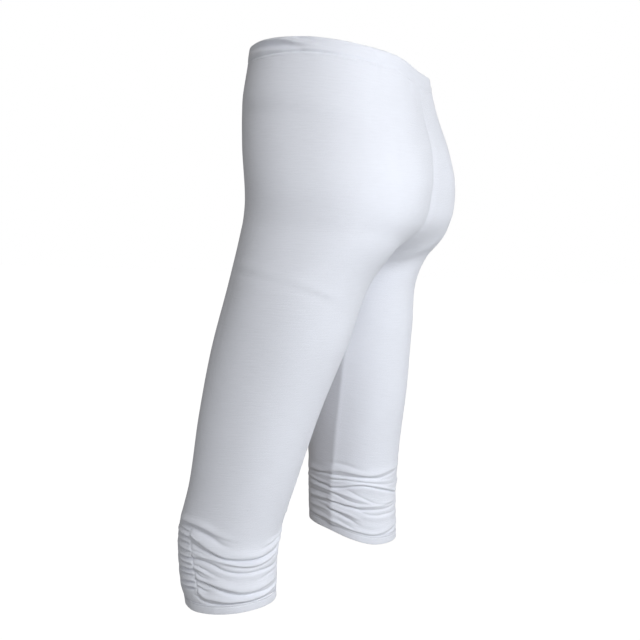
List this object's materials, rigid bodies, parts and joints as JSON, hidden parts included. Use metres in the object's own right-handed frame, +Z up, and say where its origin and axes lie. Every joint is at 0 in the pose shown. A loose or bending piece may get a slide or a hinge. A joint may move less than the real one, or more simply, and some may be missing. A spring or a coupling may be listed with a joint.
{
  "type": "capri leggings",
  "caption": "White jersey capri leggings, filled out as worn, with a turned elastic waist and narrow hems gathered at the outer side of each leg.",
  "frame": {"origin": "middle of the waist opening, at the mean height of its rim", "axes": "+Z up out of the waist, the garment's front faces -Y, the wearer's left side is at +X"},
  "size_m": [0.3487, 0.2805, 0.6523],
  "materials": {
    "jersey": "matt white cotton jersey with elastane",
    "casing": "matt white jersey turned over elastic",
    "hem": "matt white jersey, turned and stitched"
  },
  "bodies": {
    "root": {"leg_left": "jersey", "leg_right": "jersey", "waist_casing": "casing", "hem_left": "hem", "hem_right": "hem"}
  },
  "joints": []
}
